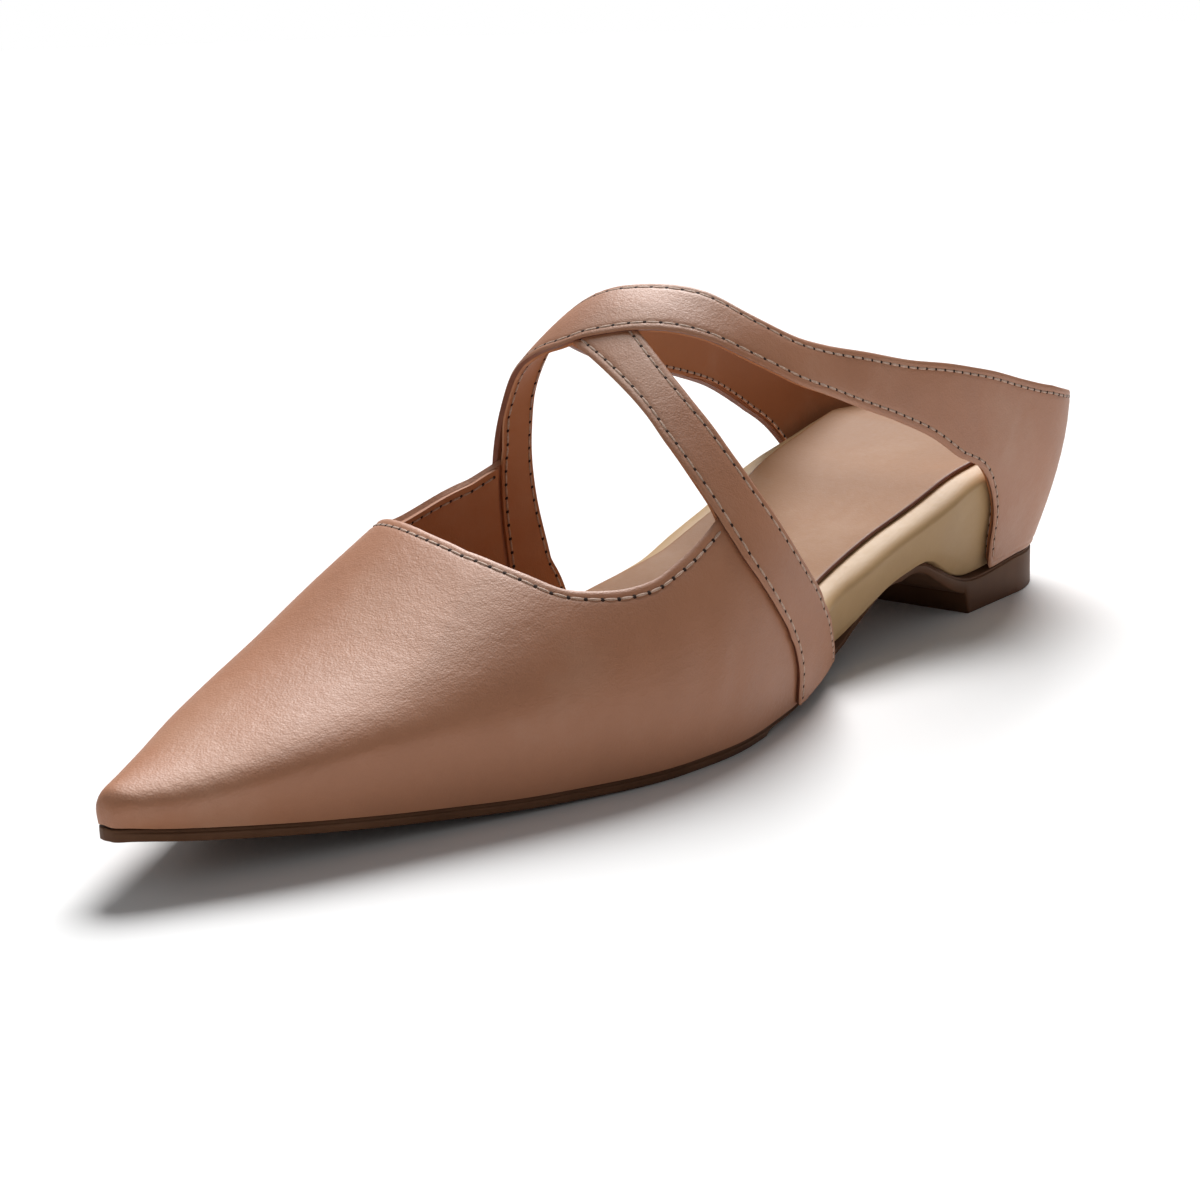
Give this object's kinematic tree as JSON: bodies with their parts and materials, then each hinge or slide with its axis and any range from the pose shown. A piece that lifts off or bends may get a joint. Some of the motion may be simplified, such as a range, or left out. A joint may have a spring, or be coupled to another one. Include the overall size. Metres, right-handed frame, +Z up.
{
  "type": "mule shoe",
  "caption": "Left mule shoe with a pointed toe, two crossed straps that run back into a low heel counter, and a low carved wedge with a small heel block.",
  "frame": {"origin": "middle of the heel block's face on the floor", "axes": "+X from the heel to the toe, +Y to the wearer's left, +Z up from the floor"},
  "size_m": [0.2706, 0.079, 0.0808],
  "materials": {
    "sole": "satin brown, smooth edge",
    "wedge_cover": "smooth beige leather",
    "sock": "smooth matt beige leather",
    "upper_leather": "fine-grained pink tan leather, soft sheen"
  },
  "bodies": {
    "root": {"outsole": "sole", "wedge": "wedge_cover", "insole": "sock", "upper": "upper_leather"}
  },
  "joints": []
}
